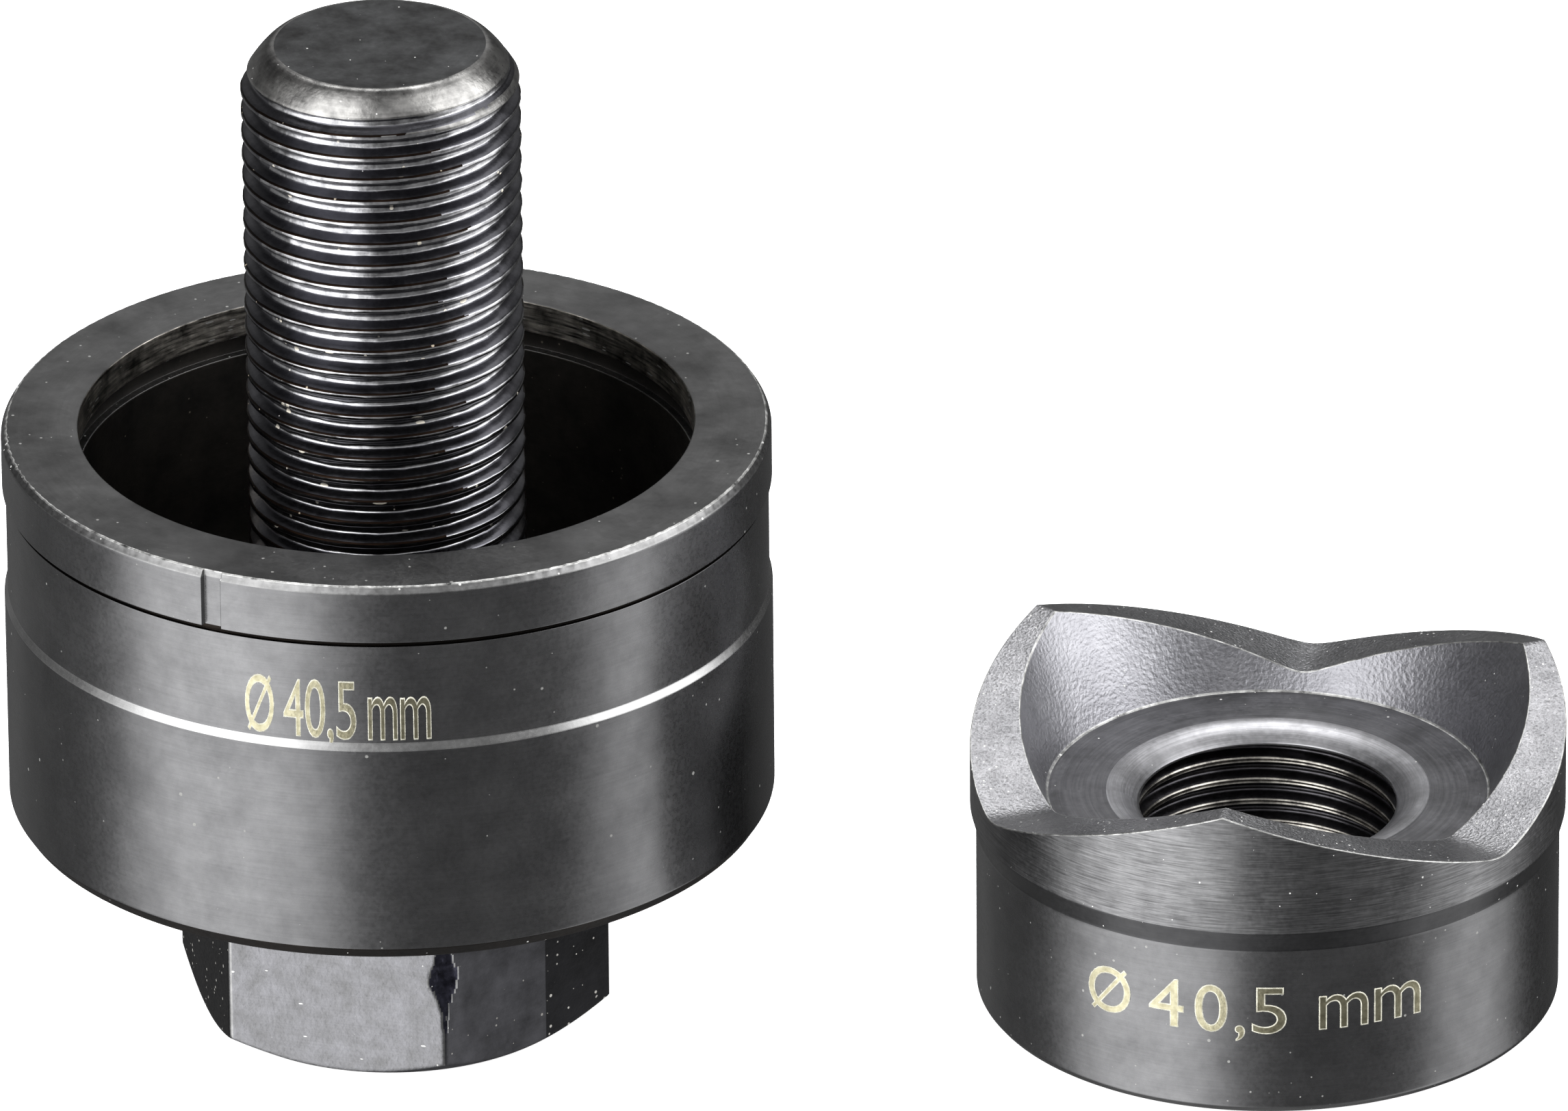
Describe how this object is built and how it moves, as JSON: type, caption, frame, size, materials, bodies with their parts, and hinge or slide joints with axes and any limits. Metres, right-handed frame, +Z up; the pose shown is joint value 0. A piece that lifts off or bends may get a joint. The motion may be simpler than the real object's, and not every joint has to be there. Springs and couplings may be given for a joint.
{
  "type": "knockout punch",
  "caption": "Knockout punch for round holes in sheet metal: a cup-shaped die on a hex-headed draw bolt, with a separate scalloped punch that threads onto the bolt.",
  "frame": {"origin": "centre of the bolt head's bottom face, which stands on the bench", "axes": "+Z up the draw bolt's axis, +X towards the axis of the punch that stands beside it"},
  "size_m": [0.1058, 0.052, 0.0706],
  "materials": {
    "die": "black oxide over turned steel, satin, with bright ground bevels",
    "draw_bolt": "black oxide, glossy on the thread, matt grey on the forged head",
    "punch": "black oxide over turned steel, satin, with ground cutting faces"
  },
  "bodies": {
    "tool_set": {"die": "die", "punch": "punch"},
    "bolt": {"draw_bolt": "draw_bolt"}
  },
  "joints": [
    {"name": "draw_bolt_turn", "type": "hinge", "parent": "tool_set", "child": "bolt", "pos_m": [0, 0, 0], "axis": [0, 0, 1], "continuous": true}
  ]
}
